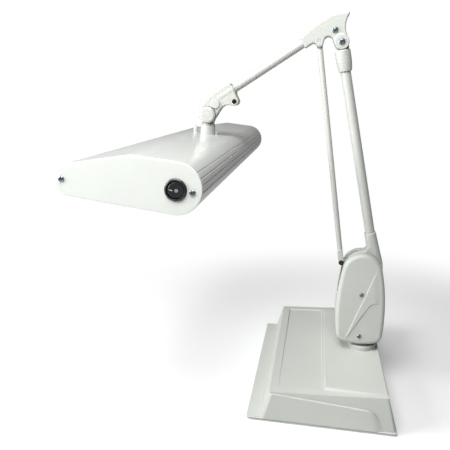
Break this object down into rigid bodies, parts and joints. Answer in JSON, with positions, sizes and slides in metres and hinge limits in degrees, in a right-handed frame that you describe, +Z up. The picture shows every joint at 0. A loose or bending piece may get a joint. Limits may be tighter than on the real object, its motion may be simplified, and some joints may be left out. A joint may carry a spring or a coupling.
{
  "type": "fluorescent task lamp",
  "caption": "Desk lamp with a long fluorescent head on a spring balanced swing arm, a swivelling post and a wide weighted base.",
  "frame": {"origin": "on the desk under the axis of the swivel post", "axes": "+Z up, +X to the back, -Y to the end of the head with the switch"},
  "size_m": [0.394, 0.5557, 0.564],
  "materials": {
    "foot_rubber": "matte sheet",
    "plate_enamel": "satin enamel",
    "cast_iron": "rough casting",
    "cover_enamel": "fine textured satin",
    "zinc": "zinc plated",
    "steel": "bare steel",
    "spring_steel": "oiled spring wire",
    "nylon": "moulded nylon",
    "arm_enamel": "satin enamel",
    "bronze": "worn bronze",
    "shade_enamel": "satin enamel on aluminium",
    "end_enamel": "satin enamel on aluminium",
    "reflector_white": "gloss white enamel",
    "lamp_glass": "phosphor coated glass",
    "lamp_cap": "brushed cap",
    "holder_plastic": "moulded plastic",
    "switch_black": "moulded plastic"
  },
  "bodies": {
    "base": {"base_pad": "foot_rubber", "base_plate": "plate_enamel", "base_weight": "cast_iron", "base_cover": "cover_enamel", "base_screws": "zinc", "post_socket": "steel", "post_bushing": "nylon", "post_collar": "cover_enamel", "cord_inlet_bushing": "nylon"},
    "housing": {"swivel_post": "steel", "housing_frame": "steel", "near_cover": "cover_enamel", "far_cover": "cover_enamel", "cover_screws": "zinc", "frame_spacers": "steel", "spring_anchor_pins": "zinc", "pivot_bolt": "zinc", "pivot_nut": "zinc", "pivot_washers": "zinc", "arm_spring": "spring_steel", "lever_spring": "spring_steel"},
    "lower_arm": {"arm_hub": "arm_enamel", "lower_tube": "arm_enamel", "lower_arm_head": "arm_enamel", "elbow_bushing": "bronze"},
    "balance_lever": {"balance_lever": "arm_enamel", "lever_rivet": "bronze"},
    "tie_rod": {"tie_rod": "arm_enamel"},
    "upper_arm": {"elbow_casting": "arm_enamel", "elbow_screws": "zinc", "elbow_nuts": "zinc", "tie_rod_pin": "zinc", "upper_tube": "arm_enamel", "head_socket": "arm_enamel", "pinch_screw": "bronze", "clamp_boss": "arm_enamel", "tilt_bolt": "zinc", "tilt_cap": "arm_enamel"},
    "head_bracket": {"tilt_bracket": "arm_enamel", "tilt_washers": "zinc"},
    "head": {"head_collar": "arm_enamel", "stop_studs": "zinc", "swivel_nut": "steel", "shade": "shade_enamel", "near_end_plate": "end_enamel", "far_end_plate": "end_enamel", "end_plate_screws": "zinc", "reflector": "reflector_white", "lamp_tubes": "lamp_glass", "tube_caps": "lamp_cap", "lamp_holders": "holder_plastic", "ballast": "holder_plastic", "switch_body": "switch_black"},
    "rocker": {"switch_rocker": "switch_black"}
  },
  "joints": [
    {"name": "base_swivel", "type": "hinge", "parent": "base", "child": "housing", "pos_m": [0, 0, 0], "axis": [0, 0, 1], "range_deg": [-150, 150]},
    {"name": "lower_arm_pivot", "type": "hinge", "parent": "housing", "child": "lower_arm", "pos_m": [-0.008, 0, 0.193], "axis": [0, -1, 0], "range_deg": [-20, 35], "deforming": ["arm_spring"]},
    {"name": "elbow_pivot", "type": "hinge", "parent": "lower_arm", "child": "upper_arm", "pos_m": [-0.05412, 0, 0.5241], "axis": [0, 1, 0], "range_deg": [-30, 38], "deforming": ["lever_spring"]},
    {"name": "lever_pivot", "type": "hinge", "parent": "lower_arm", "child": "balance_lever", "pos_m": [-0.008, 0, 0.193], "axis": [0, 1, 0], "range_deg": [-30, 38]},
    {"name": "tie_rod_pivot", "type": "hinge", "parent": "balance_lever", "child": "tie_rod", "pos_m": [-0.0395, 0, 0.1955], "axis": [0, 1, 0], "range_deg": [-38, 30]},
    {"name": "head_tilt", "type": "hinge", "parent": "upper_arm", "child": "head_bracket", "pos_m": [-0.25002, 0, 0.42262], "axis": [0, -1, 0], "range_deg": [-45, 50]},
    {"name": "head_swivel", "type": "hinge", "parent": "head_bracket", "child": "head", "pos_m": [-0.25454, 0, 0.365], "axis": [0.0781, 0, 0.9969], "range_deg": [-50, 50]},
    {"name": "switch_rocker", "type": "hinge", "parent": "head", "child": "rocker", "pos_m": [-0.21807, -0.28409, 0.36104], "axis": [-0.0781, 0, -0.9969], "range_deg": [0, 18]}
  ],
  "couplings": [
    {"joint": "lever_pivot", "follows": "elbow_pivot", "ratio": 1},
    {"joint": "tie_rod_pivot", "follows": "elbow_pivot", "ratio": -1}
  ]
}
